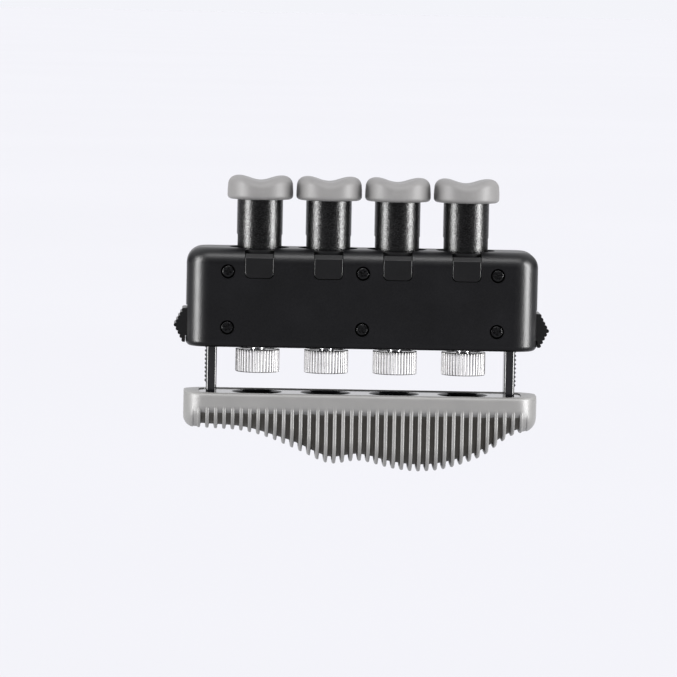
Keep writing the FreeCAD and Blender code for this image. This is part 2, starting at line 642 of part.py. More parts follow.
def thumb_piece():
    """The part of the right lock that the thumb rocks: a blunt wedge with rounded ridges across it."""
    centres = ridge_centres()
    lift = THUMB_RIDGE_RADIUS - THUMB_VALLEY_DEPTH
    bottom, apex, top = [(x + lift, z) for x, z in (centres[0], centres[THUMB_RIDGES // 2], centres[-1])]
    wedge = across([(THUMB_SKIRT_X, THUMB_BOTTOM), (centres[0][0], THUMB_BOTTOM), bottom, apex, top,
                    (centres[-1][0], THUMB_TOP), (THUMB_BACK_X, THUMB_TOP), (THUMB_BACK_X, THUMB_SKIRT_TOP),
                    (THUMB_SKIRT_X, THUMB_SKIRT_TOP)], THUMB_HALF_Y)
    ridges = [cross_rod(THUMB_RIDGE_RADIUS, -THUMB_HALF_Y, THUMB_HALF_Y, x, z) for x, z in centres]
    return fuse([wedge, *ridges])


def lock_rocker():
    """The right lock: a serrated thumb piece, a hub on the pivot pin, and a pawl in the rack."""
    stem = box((PIVOT_X, THUMB_BACK_X + RUNNING_GAP), (-HUB_HALF_Y, HUB_HALF_Y),
               (PIVOT_Z - HUB_RADIUS, PIVOT_Z + HUB_RADIUS))
    hub = cross_rod(HUB_RADIUS, -HUB_HALF_Y, HUB_HALF_Y, PIVOT_X, PIVOT_Z)
    root = PAWL_SHOULDER_X
    pawl = across([(PAWL_TIP_X, PAWL_Z - PAWL_TIP_HALF), (root, PAWL_Z - PAWL_ROOT_HALF),
                   (PIVOT_X, PAWL_Z - PAWL_ROOT_HALF), (PIVOT_X, PIVOT_Z), (root + PAWL_ROOT_HALF, PIVOT_Z),
                   (root, PAWL_Z + PAWL_ROOT_HALF), (PAWL_TIP_X, PAWL_Z + PAWL_TIP_HALF)], PAWL_HALF_Y)
    pin_hole = cross_rod(PIN_RADIUS + RUNNING_GAP, -BODY_HALF_Y, BODY_HALF_Y, PIVOT_X, PIVOT_Z)
    return fuse([thumb_piece(), stem, hub, pawl]).cut(pin_hole)


def lock_pin():
    """The right lock's pivot pin."""
    reach = PIN_HALF_LENGTH - RUNNING_GAP
    return cross_rod(PIN_RADIUS, -reach, reach, PIVOT_X, PIVOT_Z)


def lock_spring():
    """The small spring that pushes the top of the right thumb piece outwards."""
    mean_radius = LOCK_SPRING_RADIUS - LOCK_SPRING_WIRE / 2
    coil = spring(mean_radius, LOCK_SPRING_WIRE, LOCK_SPRING_TURNS, THUMB_BACK_X - LOCK_BRIDGE_X[1])
    coil = coil.rotated(Vector(), Vector(0, 1, 0), 90)
    return coil.translated(Vector(LOCK_BRIDGE_X[1], 0, LOCK_SPRING_Z))


# ---- the whole object ------------------------------------------------------------------------------
def parts():
    """Every piece by its name."""
    found = {}
    found["housing_front"], found["housing_back"] = housing()
    found["housing_screws"] = housing_screws()
    for name, make in (("plunger", plunger), ("cap", cap), ("guide_bushing", guide_bushing),
                       ("spring", plunger_spring), ("spring_seat", spring_seat),
                       ("tension_screw", tension_screw), ("tension_knob", tension_knob)):
        for k, shape in enumerate(each_finger(make()), 1):
            found[f"{name}_{k}"] = shape
    blank = plate_blank()
    found["pad_plate"] = pad_plate(blank)
    found["palm_pad"] = palm_pad(blank)
    found["post_screws"] = post_screws()
    for name, make in (("post", post), ("lock_rocker", lock_rocker), ("lock_pin", lock_pin),
                       ("lock_spring", lock_spring)):
        found[f"{name}_right"], found[f"{name}_left"] = both_ends(make())
    return found


os.makedirs("parts", exist_ok=True)
for name, shape in parts().items():
    solids = shape.Solids
    print(name, "solids", len(solids), "valid", shape.isValid(), "volume", round(shape.Volume, 2))
    (solids[0] if len(solids) == 1 else shape).exportStep(f"parts/{name}.step")
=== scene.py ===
import json
import math

import bmesh
import bpy
from mathutils import Matrix, Vector


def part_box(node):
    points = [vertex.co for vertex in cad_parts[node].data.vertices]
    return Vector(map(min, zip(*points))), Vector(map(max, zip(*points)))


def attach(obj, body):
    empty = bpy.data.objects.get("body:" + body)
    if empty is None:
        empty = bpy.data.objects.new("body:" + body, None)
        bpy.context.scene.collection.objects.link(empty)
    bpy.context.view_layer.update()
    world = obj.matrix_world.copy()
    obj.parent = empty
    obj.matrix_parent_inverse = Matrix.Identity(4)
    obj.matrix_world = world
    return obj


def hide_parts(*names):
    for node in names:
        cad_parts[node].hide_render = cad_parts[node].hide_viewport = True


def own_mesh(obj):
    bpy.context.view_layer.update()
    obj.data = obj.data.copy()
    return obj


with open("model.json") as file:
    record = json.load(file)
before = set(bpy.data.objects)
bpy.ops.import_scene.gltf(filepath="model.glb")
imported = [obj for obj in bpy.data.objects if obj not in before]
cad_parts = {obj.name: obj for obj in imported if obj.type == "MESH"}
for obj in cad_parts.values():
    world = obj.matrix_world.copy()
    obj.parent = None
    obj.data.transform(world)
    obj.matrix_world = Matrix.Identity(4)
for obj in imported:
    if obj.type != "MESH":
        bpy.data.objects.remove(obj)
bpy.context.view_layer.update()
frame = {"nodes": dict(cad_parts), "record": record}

# A hand-held finger exerciser in a pale studio. Metres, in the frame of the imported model.
MM = 0.001
NODES = frame["nodes"]
FINGERS = [k for k in range(1, 20) if f"cap_{k}" in NODES]


# ---- geometry helpers ------------------------------------------------------------------------------
def new_piece(name, vertices, faces, finish):
    """A mesh object from plain lists, shaded smooth."""
    mesh = bpy.data.meshes.new(name)
    mesh.from_pydata([tuple(v) for v in vertices], [], faces)
    mesh.validate()
    mesh.materials.append(finish)
    obj = bpy.data.objects.new(name, mesh)
    bpy.context.scene.collection.objects.link(obj)
    fix_normals(mesh)
    for polygon in mesh.polygons:
        polygon.use_smooth = True
    return obj


def fix_normals(mesh):
    """Turns every face outwards."""
    bm = bmesh.new()
    bm.from_mesh(mesh)
    bmesh.ops.recalc_face_normals(bm, faces=bm.faces)
    bm.to_mesh(mesh)
    bm.free()


def crease(obj, degrees):
    """Marks the edges that bend more than this as sharp, so that flat faces stay flat."""
    bm = bmesh.new()
    bm.from_mesh(obj.data)
    limit = math.radians(degrees)
    for edge in bm.edges:
        if len(edge.link_faces) == 2:
            edge.smooth = edge.calc_face_angle(0.0) < limit
    bm.to_mesh(obj.data)
    bm.free()
    return obj


def bridge_rings(rings, closed_ends=True):
    """Quads between rings of equal length, with a face at each end."""
    count = len(rings[0])
    vertices = [point for ring in rings for point in ring]
    faces = []
    for r in range(len(rings) - 1):
        for i in range(count):
            j = (i + 1) % count
            faces.append((r * count + i, r * count + j, (r + 1) * count + j, (r + 1) * count + i))
    if closed_ends:
        faces.append(tuple(range(count)))
        last = (len(rings) - 1) * count
        faces.append(tuple(last + i for i in reversed(range(count))))
    return vertices, faces


def lerp(a, b, t):
    """A value between a and b."""
    return a + (b - a) * t


def ease(t):
    """A smooth step from 0 to 1."""
    t = min(1.0, max(0.0, t))
    return t * t * (3 - 2 * t)


def arc(centre, radius, start, end, steps):
    """Points (u, v) on an arc, from one angle to another in degrees, both ends included."""
    angles = [math.radians(lerp(start, end, i / steps)) for i in range(steps + 1)]
    return [(centre[0] + radius * math.cos(a), centre[1] + radius * math.sin(a)) for a in angles]


def finished(obj, node, body):
    """Puts a Blender piece in the place of a CAD node, on the node's body."""
    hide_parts(node)
    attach(obj, body)
    return obj


# ---- material helpers ------------------------------------------------------------------------------
# Noise scales are in features to the metre, and bump depths are in metres.
MARKS_SCALE = 90.0
MOTTLE_SCALE = 160.0
TARNISH_SCALE = 300.0
SKIN_SCALE = 4200.0
SKIN_DEPTH = 0.00003


def material(name):
    """An empty node material, with its tree, its principled shader and the object coordinates."""
    mat = bpy.data.materials.new(name)
    mat.use_nodes = True
    tree = mat.node_tree
    shader = tree.nodes["Principled BSDF"]
    place = tree.nodes.new("ShaderNodeTexCoord").outputs["Object"]
    return mat, tree, shader, place


def noise(tree, place, scale, detail=3.0, rough=0.5, stretch=None):
    """A noise value at so many features to the metre, stretched where asked."""
    if stretch:
        mapping = tree.nodes.new("ShaderNodeMapping")
        mapping.inputs["Scale"].default_value = stretch
        tree.links.new(place, mapping.inputs["Vector"])
        place = mapping.outputs["Vector"]
    node = tree.nodes.new("ShaderNodeTexNoise")
    node.inputs["Scale"].default_value = scale
    node.inputs["Detail"].default_value = detail
    node.inputs["Roughness"].default_value = rough
    tree.links.new(place, node.inputs["Vector"])
    return node.outputs["Fac"]


def span(tree, value, low, high, from_low=0.3, from_high=0.7):
    """A value taken from one range to another."""
    node = tree.nodes.new("ShaderNodeMapRange")
    node.inputs["From Min"].default_value = from_low
    node.inputs["From Max"].default_value = from_high
    node.inputs["To Min"].default_value = low
    node.inputs["To Max"].default_value = high
    tree.links.new(value, node.inputs["Value"])
    return node.outputs["Result"]


def blend_colour(tree, factor, dark, light):
    """A colour between two, by a factor."""
    node = tree.nodes.new("ShaderNodeMix")
    node.data_type = "RGBA"
    node.inputs["A"].default_value = (*dark, 1)
    node.inputs["B"].default_value = (*light, 1)
    tree.links.new(factor, node.inputs["Factor"])
    return node.outputs["Result"]


def mix_values(tree, a, b, share):
    """Two values added up, the second scaled by a share."""
    node = tree.nodes.new("ShaderNodeMath")
    node.operation = "MULTIPLY_ADD"
    node.inputs[1].default_value = share
    tree.links.new(b, node.inputs[0])
    tree.links.new(a, node.inputs[2])
    return node.outputs[0]


def bump(tree, shader, height, depth):
    """A bump of so many metres."""
    node = tree.nodes.new("ShaderNodeBump")
    node.inputs["Distance"].default_value = depth
    node.inputs["Strength"].default_value = 1.0
    tree.links.new(height, node.inputs["Height"])
    tree.links.new(node.outputs["Normal"], shader.inputs["Normal"])


def moulded_plastic(name, colour, rough, grain_scale, grain_depth, gloss, speckle=0.1):
    """Moulded plastic with a fine spark-eroded grain, speckled gloss and faint handling marks."""
    mat, tree, shader, place = material(name)
    grain = noise(tree, place, grain_scale, 2.0, 0.6)
    marks = noise(tree, place, MARKS_SCALE, 5.0, 0.6)
    darker = [c * 0.75 for c in colour]
    lighter = [c * 1.3 for c in colour]
    tint = blend_colour(tree, span(tree, marks, 0, 1), darker, lighter)
    tree.links.new(tint, shader.inputs["Base Color"])
    uneven = mix_values(tree, span(tree, marks, rough * 0.92, rough * 1.08), grain, 0.04)
    tree.links.new(uneven, shader.inputs["Roughness"])
    speckled = span(tree, grain, gloss * (1 - speckle), gloss * (1 + speckle))
    tree.links.new(speckled, shader.inputs["Specular IOR Level"])
    bump(tree, shader, grain, grain_depth)
    return mat


def soft_rubber(name, colour, dusty, rough, gloss):
    """Moulded rubber: satin, faintly mottled, with a pale bloom and a fine skin texture."""
    mat, tree, shader, place = material(name)
    mottle = noise(tree, place, MOTTLE_SCALE, 6.0, 0.6)
    skin = noise(tree, place, SKIN_SCALE, 3.0, 0.6)
    tint = blend_colour(tree, span(tree, mottle, 0, 1), colour, dusty)
    tree.links.new(tint, shader.inputs["Base Color"])
    tree.links.new(span(tree, mottle, rough * 0.92, rough * 1.08), shader.inputs["Roughness"])
    shader.inputs["Specular IOR Level"].default_value = gloss
    bump(tree, shader, skin, SKIN_DEPTH)
    return mat


def plain_metal(name, colour, rough, brush, depth, stretch=None):
    """Metal with fine tool marks."""
    mat, tree, shader, place = material(name)
    shader.inputs["Metallic"].default_value = 1.0
    lines = noise(tree, place, brush, 3.0, 0.6, stretch)
    tarnish = noise(tree, place, TARNISH_SCALE, 4.0, 0.6)
    darker = [c * 0.86 for c in colour]
    tint = blend_colour(tree, span(tree, tarnish, 0, 1), darker, colour)
    tree.links.new(tint, shader.inputs["Base Color"])
    tree.links.new(span(tree, lines, rough * 0.7, rough * 1.3), shader.inputs["Roughness"])
    bump(tree, shader, lines, depth)
    return mat


MATERIALS = {
    # plastics: colour, roughness, grain scale, grain depth, gloss, speckle
    "housing_black": moulded_plastic(
        "housing_plastic", (0.0002, 0.0002, 0.0004), 0.31, 3000.0, 0.00004, 0.18),
    "bushing_black": moulded_plastic(
        "bushing_plastic", (0.0002, 0.0002, 0.0003), 0.28, 4600.0, 0.00001, 0.24),
    "plunger_black": moulded_plastic(
        "plunger_plastic", (0.0002, 0.0002, 0.0002), 0.23, 2400.0, 0.00007, 0.19, 0.6),
    "lock_black": moulded_plastic(
        "lock_plastic", (0.0002, 0.0002, 0.0003), 0.30, 4600.0, 0.00002, 0.22),
    "plate_gloss_black": moulded_plastic(
        "plate_plastic", (0.002, 0.002, 0.0024), 0.08, 900.0, 0.000002, 0.5),
    "post_gloss_black": moulded_plastic(
        "post_plastic", (0.002, 0.002, 0.0024), 0.10, 900.0, 0.000003, 0.3),
    "screw_black": moulded_plastic(
        "screw_finish", (0.0004, 0.0004, 0.0005), 0.11, 1800.0, 0.00014, 0.20),
    # rubbers: colour, colour with bloom, roughness, gloss
    "cap_rubber": soft_rubber("cap_rubber", (0.138, 0.135, 0.132), (0.154, 0.151, 0.148), 0.46, 0.5),
    "pad_rubber": soft_rubber("pad_rubber", (0.150, 0.148, 0.143), (0.166, 0.163, 0.157), 0.38, 0.95),
    # The next rubber is painted shade: a darker rubber for the deep grooves between the fins, where shade
    # falls.
    "pad_painted_groove_shade": soft_rubber("pad_painted_groove_shade", (0.080, 0.075, 0.066), (0.095, 0.089, 0.078), 0.60, 0.3),
    # metals: colour, roughness, scale and depth of the tool marks
    "knob_chrome": plain_metal("knob_chrome", (0.84, 0.83, 0.82), 0.17, 1800.0, 0.0000004),
    # The next metal is painted shade and dark reflection: a dull dark metal for the knob's grooves and rims.
    "knob_painted_groove_shade": plain_metal("knob_painted_groove_shade", (0.20, 0.195, 0.19), 0.30, 1800.0, 0.000001),
    "spindle_steel": plain_metal(
        "spindle_steel", (0.55, 0.55, 0.56), 0.28, 9000.0, 0.000006, (0.05, 0.05, 1)),
    "spring_steel": plain_metal("spring_steel", (0.50, 0.50, 0.52), 0.32, 6000.0, 0.000006),
    "seat_brass": plain_metal("seat_brass", (0.72, 0.52, 0.24), 0.3, 6000.0, 0.000006),
}


# ---- finishes on the CAD nodes ---------------------------------------------------------------------
def dress_cad_nodes():
    """Gives every CAD node the material of its slot."""
    for row in frame["record"]["subparts"]:
        obj = NODES[row["node"]]
        obj.data.materials.clear()
        obj.data.materials.append(MATERIALS[row["material_slot"]])


# ---- finger caps -----------------------------------------------------------------------------------
CAP_SEGMENTS = 96
CAP_TOP_ROUND = 2.4 * MM
CAP_BOTTOM_ROUND = 1.1 * MM
CAP_TAPER = 0.12 * MM
CAP_HOLLOW = 1.35 * MM
CAP_STEM_RADIUS = 6.25 * MM
CAP_STEM_BEVEL = 0.4 * MM
CAP_STEM_LIP = 0.15 * MM
CAP_UNDER_RECESS = 0.5 * MM
CAP_TOP_STEPS = 14
CAP_SIDE_STEPS = 8
CAP_BULGE = 1.25


def cap_top(x, half_span, peak):
    """The height of the saddle: a hollow across the middle that rises to a peak at each side."""
    t = min(1.0, abs(x) / half_span)
    return peak - CAP_HOLLOW * (0.5 + 0.5 * math.cos(math.pi * t)) ** 1.1


def finger_cap(k):
    """A round rubber cap with a saddle top, a soft rim and a recess round the plunger."""
    low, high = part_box(f"cap_{k}")
    centre = (low + high) / 2
    widest = (high.x - low.x) / 2
    upper = widest - CAP_TAPER
    bottom, peak = low.z, high.z
    flat = upper - CAP_TOP_ROUND
    profile = [(flat * i / CAP_TOP_STEPS, 0.0) for i in range(1, CAP_TOP_STEPS)]
    profile += [(flat + CAP_TOP_ROUND * math.sin(math.radians(a)),
                 -CAP_TOP_ROUND * (1 - math.cos(math.radians(a)))) for a in range(0, 91, 9)]
    rings = []
    for r, drop in profile:
        ring = []
        for s in range(CAP_SEGMENTS):
            a = 2 * math.pi * s / CAP_SEGMENTS
            x, y = r * math.cos(a), r * math.sin(a)
            ring.append((x, y, cap_top(x, flat, peak) + drop))
        rings.append(ring)
    side_bottom = bottom + CAP_BOTTOM_ROUND
    for i in range(1, CAP_SIDE_STEPS + 1):
        t = i / CAP_SIDE_STEPS
        r = lerp(upper, widest, math.sin(math.pi / 2 * min(1.0, t * CAP_BULGE)))
        ring = []
        for s, (_, _, z) in enumerate(rings[len(profile) - 1]):
            a = 2 * math.pi * s / CAP_SEGMENTS
            ring.append((r * math.cos(a), r * math.sin(a), lerp(z, side_bottom, t)))
        rings.append(ring)
    under = arc((widest - CAP_BOTTOM_ROUND, side_bottom), CAP_BOTTOM_ROUND, -10, -90, 8)
    under += [(CAP_STEM_RADIUS + CAP_STEM_BEVEL, bottom), (CAP_STEM_RADIUS, bottom + CAP_STEM_LIP),
              (CAP_STEM_RADIUS, bottom + CAP_UNDER_RECESS)]
    for r, z in under:
        rings.append([(r * math.cos(2 * math.pi * s / CAP_SEGMENTS),
                       r * math.sin(2 * math.pi * s / CAP_SEGMENTS), z) for s in range(CAP_SEGMENTS)])
    vertices, faces = bridge_rings(rings, closed_ends=False)
    top = len(vertices)
    vertices.append((0, 0, cap_top(0, flat, peak)))
    faces += [(top, s, (s + 1) % CAP_SEGMENTS) for s in range(CAP_SEGMENTS)]
    last = (len(rings) - 1) * CAP_SEGMENTS
    faces.append(tuple(last + s for s in range(CAP_SEGMENTS)))
    vertices = [(centre.x + x, centre.y + y, z) for x, y, z in vertices]
    cap = new_piece(f"finger_cap_{k}", vertices, faces, MATERIALS["cap_rubber"])
    crease(cap, 50)
    return finished(cap, f"cap_{k}", f"finger_{k}")


# ---- tension knobs ---------------------------------------------------------------------------------
KNOB_REEDS = 40
REED_STEPS = 12
REED_DEPTH = 0.25 * MM
KNOB_RIM = 0.3 * MM
KNOB_DISH = 0.4 * MM
# GROOVE_SHARE: how much of each reed, either side of its groove, gets the painted shade.
GROOVE_SHARE = 0.36
REED_FULLNESS = 0.6
REED_FADE = 1.6
KNOB_FACE_LIP = 0.1 * MM
KNOB_BORE = 2.2 * MM
KNOB_DISH_INNER = 3.9 * MM
KNOB_DISH_OUTER = 4.2 * MM
KNOB_STEP_OUTER = 4.6 * MM
KNOB_STEP_BORE = 2.05 * MM
KNOB_STEP = 0.2 * MM
KNOB_TURN_STEPS = 6


def reed_height(step):
    """How full a reed is at a place across it: 1 at its crest, 0 in the groove."""
    return abs(math.cos(math.pi * step / REED_STEPS))


def knob_ring(centre, radius, z, depth):
    """One ring of rounded reeds that meet in sharp grooves."""
    ring = []
    count = KNOB_REEDS * REED_STEPS
    for s in range(count):
        a = 2 * math.pi * s / count
        r = radius - depth * (1 - reed_height(s % REED_STEPS) ** REED_FULLNESS)
        ring.append((centre.x + r * math.cos(a), centre.y + r * math.sin(a), z))
    return ring


def reeded_knob(k):
    """A plated knob with rounded reeds, rounded rims and a dished lower face; its grooves and rims are
    painted dark, as painted shade and dark reflection.
    """
    low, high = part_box(f"tension_knob_{k}")
    centre = (low + high) / 2
    radius = (high.x - low.x) / 2
    bottom, top = low.z, high.z
    face = radius - KNOB_RIM - KNOB_FACE_LIP
    rows = [(KNOB_BORE, bottom + KNOB_DISH, 0), (KNOB_DISH_INNER, bottom + KNOB_DISH, 0),
            (KNOB_DISH_OUTER, bottom, 0), (face, bottom, 0)]
    turns = [math.radians(90 * t / KNOB_TURN_STEPS) for t in range(KNOB_TURN_STEPS + 1)]
    for a in turns:
        rows.append((radius - KNOB_RIM * (1 - math.sin(a)), bottom + KNOB_RIM * (1 - math.cos(a)),
                     REED_DEPTH * ease(math.sin(a) * REED_FADE)))
    rows += [(radius, lerp(bottom + KNOB_RIM, top - KNOB_RIM, t / 6), REED_DEPTH) for t in range(1, 6)]
    for a in reversed(turns):
        rows.append((radius - KNOB_RIM * (1 - math.sin(a)), top - KNOB_RIM * (1 - math.cos(a)),
                     REED_DEPTH * ease(math.sin(a) * REED_FADE)))
    rows += [(face, top, 0), (KNOB_STEP_OUTER, top, 0), (KNOB_DISH_OUTER, top - KNOB_STEP, 0),
             (KNOB_STEP_BORE, top - KNOB_STEP, 0)]
    rings = [knob_ring(centre, r, z, depth) for r, z, depth in rows]
    vertices, faces = bridge_rings(rings)
    knob = new_piece(f"reeded_knob_{k}", vertices, faces, MATERIALS["knob_chrome"])
    # A dark metal is painted into the grooves and onto the rims, as painted shade and dark reflection.
    knob.data.materials.append(MATERIALS["knob_painted_groove_shade"])
    count = KNOB_REEDS * REED_STEPS
    reeded = [row for row, (r, z, depth) in enumerate(rows) if depth > REED_DEPTH / 2]
    rims = [row for row in range(len(rows) - 1)
            if rows[row][1] != rows[row + 1][1] and row not in reeded]
    for polygon in knob.data.polygons:
        place, row = polygon.index % count, polygon.index // count
        middle = abs(math.cos(math.pi * (place % REED_STEPS + 0.5) / REED_STEPS))
        if row in rims or (row in reeded and middle < GROOVE_SHARE):
            polygon.material_index = 1
    crease(knob, 40)
    return finished(knob, f"tension_knob_{k}", f"tension_{k}")


def live_coil(node):
    """A copy of a coil with its own mesh, in the place of the rigid one, on the housing."""
    coil = bpy.data.objects.new(f"live_{node}", NODES[node].data.copy())
    bpy.context.scene.collection.objects.link(coil)
    finished(coil, node, "housing")
    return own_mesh(coil)


def finger_spring(k):
    """The spring in a plunger, which stands on its seat."""
    low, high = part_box(f"spring_{k}")
    live_coil(f"spring_{k}")


def lock_spring(side):
    """The small spring behind a thumb piece, which stands on the housing."""
    live_coil(f"lock_spring_{side}")


# ---- palm pad --------------------------------------------------------------------------------------
FIN_PITCH = 2.28 * MM
FINS_EACH_WAY = 19
FIN_EDGE_RADIUS = 0.52 * MM
FIN_ROUND_HALF = 0.45 * MM
FIN_FLANK_SLOPE = 9.0
LOWER_GROOVE = 1.9 * MM
THIN_GROOVE = 1.2 * MM
THIN_FROM = 5.0 * MM
THIN_TO = 9.0 * MM
SIDE_GROOVE = 1.85 * MM
END_GROOVE_SHARE = 0.18
# Faces lying deeper than this in the grooves get the darker rubber, as painted shade.
PAINTED_SHADE_DEPTH = 0.9 * MM
END_WALL_X = 45.1 * MM
END_ROUND = 2.8 * MM
PAD_CORNER = 6.5 * MM
PAD_TOP_ROUND = 1.0 * MM
PAD_SIDE_ROUND = 6.0 * MM
BAND_BOTTOM = 17.4 * MM
BAND_FADE = 4.2 * MM
ROUND_LIMIT = 15.8 * MM
RIM_PROUD = 0.25 * MM
PLATE_GAP = 0.04 * MM
CUP_RADIUS = 7.62 * MM
PLATE_CORNER = 5.0 * MM
SLAB_BOTTOM = 17.95 * MM
CUP_CUT_TOP = 18.5 * MM
PAD_SIDE_STEPS = 16
PAD_END_STEPS = 14
# The wavy underside of the fins, left to right, in millimetres from the pad's middle and its lowest fin.
UNDERSIDE = [(-47.2, 11.2), (-40.0, 10.9), (-32.0, 10.3), (-25.0, 8.6), (-16.0, 5.0), (-10.5, 2.5),
             (-7.1, 1.73), (0.0, 2.6), (8.8, 0.7), (15.6, 0.0), (22.6, 0.7), (29.2, 2.7), (34.0, 4.9),
             (38.4, 8.4), (41.5, 10.3), (47.2, 11.9)]


def underside(x):
    """The height of the fins' lower edge, on one smooth curve."""
    x = x / MM
    count = len(UNDERSIDE)
    k = max([i for i in range(count - 1) if UNDERSIDE[i][0] <= x + 1e-6] or [0])
    p = [UNDERSIDE[max(0, min(count - 1, j))] for j in range(k - 1, k + 3)]
    width = p[2][0] - p[1][0]
    slopes = [(p[j + 1][1] - p[j - 1][1]) / (p[j + 1][0] - p[j - 1][0]) for j in (1, 2)]
    t = (x - p[1][0]) / width
    start = (2 * t ** 3 - 3 * t ** 2 + 1) * p[1][1] + (t ** 3 - 2 * t ** 2 + t) * width * slopes[0]
    end = (3 * t ** 2 - 2 * t ** 3) * p[2][1] + (t ** 3 - t ** 2) * width * slopes[1]
    return (start + end) * MM


def blade_inset(x):
    """How far the nearest fin's surface lies behind its own edge, at a place along the pad."""
    if abs(x) >= END_WALL_X:
        return 0.0
    away = abs(x - round(x / FIN_PITCH) * FIN_PITCH)
    if abs(round(x / FIN_PITCH)) > FINS_EACH_WAY:
        away = min(FIN_PITCH / 2, END_WALL_X - abs(x))
    inset = FIN_EDGE_RADIUS - math.sqrt(FIN_EDGE_RADIUS ** 2 - min(away, FIN_ROUND_HALF) ** 2)
    return inset + max(0.0, away - FIN_ROUND_HALF) * FIN_FLANK_SLOPE


def groove_floor(x, z, facing_down):
    """How deep the grooves are: nothing at the band, deepest where the pad is thick, shallow at the ends."""
    thin = ease((underside(x) - THIN_FROM) / (THIN_TO - THIN_FROM))
    full = lerp(SIDE_GROOVE, lerp(LOWER_GROOVE, THIN_GROOVE, thin), facing_down)
    if abs(x) > FINS_EACH_WAY * FIN_PITCH:
        full *= END_GROOVE_SHARE
    return full * ease((BAND_BOTTOM - z) / BAND_FADE)


def pad_half_width(x, half_x, half_y, corner):
    """Half the pad's width in plan, with rounded ends."""
    past = abs(x) - (half_x - corner)
    if past <= 0:
        return half_y
    return half_y - corner + math.sqrt(max(0.0, corner ** 2 - past ** 2))


def end_lift(x, half_x):
    """How much the rounded lower corner lifts the underside close to an end."""
    past = max(0.0, abs(x) - (half_x - END_ROUND))
    return END_ROUND - math.sqrt(max(0.0, END_ROUND ** 2 - past ** 2))


def pad_section(x, half_x, half_y, top):
    """The outline of the pad across its length at one place, as (y, z) points, one side then the other."""
    width = pad_half_width(x, half_x, half_y, PAD_CORNER)
    low = underside(x) + end_lift(x, half_x)
    side_round = min(PAD_SIDE_ROUND, ROUND_LIMIT - low, width * 0.9)
    inner, lower = width - side_round, low + side_round
    points = [(width - PAD_TOP_ROUND, top)]
    for angle in (22.5, 45, 67.5, 90):
        a = math.radians(angle)
        points.append((width - PAD_TOP_ROUND * (1 - math.sin(a)), top - PAD_TOP_ROUND * (1 - math.cos(a))))
    points += [(width, z * MM) for z in (19.2, 18.6, 18.0)]
    skin = [(width, lerp(BAND_BOTTOM, lower, i / PAD_SIDE_STEPS), 1, 0) for i in range(PAD_SIDE_STEPS + 1)]
    for angle in range(6, 91, 6):
        a = math.radians(angle)
        skin.append((inner + side_round * math.cos(a), lower - side_round * math.sin(a),
                     math.cos(a), math.sin(a)))
    skin += [(inner * 2 / 3, low, 0, 1), (inner / 3, low, 0, 1)]
    blade = blade_inset(x)
    for y, z, out, down in skin:
        depth = min(blade, groove_floor(x, z, down))
        points.append((y - out * depth, z + down * depth))
    middle = low + min(blade, groove_floor(x, low, 1))
    return [(-y, z) for y, z in points] + [(0.0, middle)] + [(y, z) for y, z in reversed(points)]


def pad_stations(half_x):
    """Places along the pad: dense on the fins' flanks, and closer together round the ends."""
    places = {0.0}
    offsets = (0.15, 0.28, 0.38, 0.45, 0.49, 0.53, 0.57, 0.61, 0.68, 0.86)
    for k in range(-FINS_EACH_WAY, FINS_EACH_WAY + 1):
        centre = k * FIN_PITCH
        places.add(round(centre, 8))
        for away in offsets:
            places.update((round(centre + away * MM, 8), round(centre - away * MM, 8)))
        places.update((round(centre + FIN_PITCH / 2, 8), round(centre - FIN_PITCH / 2, 8)))
    last = FINS_EACH_WAY * FIN_PITCH + FIN_PITCH / 2
    for share in (0.3, 0.55, 0.75, 0.9, 1.0):
        place = round(lerp(last, END_WALL_X, share), 8)
        places.update((place, -place))
    for i in range(1, PAD_END_STEPS + 1):
        place = round(END_WALL_X + (half_x - END_WALL_X) * math.sin(math.pi / 2 * i / PAD_END_STEPS), 8)
        place = min(place, half_x - 0.01 * MM)
        places.update((place, -place))
    return sorted(places)


def ribbed_pad():
    """The rubber pad: a plain band above, thin cross fins below, and rounded ends."""
    low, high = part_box("palm_pad")
    centre = (low + high) / 2
    half_x, half_y, top = (high.x - low.x) / 2, (high.y - low.y) / 2, high.z + RIM_PROUD
    rings = []
    for x in pad_stations(half_x):
        rings.append([(centre.x + x, y, z) for y, z in pad_section(x, half_x, half_y, top)])
    vertices, faces = bridge_rings(rings)
    pad = new_piece("ribbed_palm_pad", vertices, faces, MATERIALS["pad_rubber"])
    pad.data.materials.append(MATERIALS["pad_painted_groove_shade"])
    # Painted shade: faces deep in the grooves between the fins get the darker rubber.
    for polygon in pad.data.polygons:
        x, z = polygon.center.x - centre.x, polygon.center.z
        if min(blade_inset(x), groove_floor(x, z, 0)) > PAINTED_SHADE_DEPTH:
            polygon.material_index = 1
    cut_for_plate(pad, top)
    crease(pad, 50)
    return finished(pad, "palm_pad", "palm_rest")


def plan_outline(half_x, half_y, corner, steps=10):
    """A rounded rectangle in plan, as (x, y) points."""
    x, y = half_x - corner, half_y - corner
    points = []
    for cx, cy, start in ((x, y, 0), (-x, y, 90), (-x, -y, 180), (x, -y, 270)):
        points += arc((cx, cy), corner, start, start + 90, steps)
    return points


def prism(name, points, bottom, top):
    """A closed upright prism from plan points."""
    rings = [[(x, y, z) for x, y in points] for z in (bottom, top)]
    vertices, faces = bridge_rings(rings)
    return new_piece(name, vertices, faces, MATERIALS["pad_rubber"])


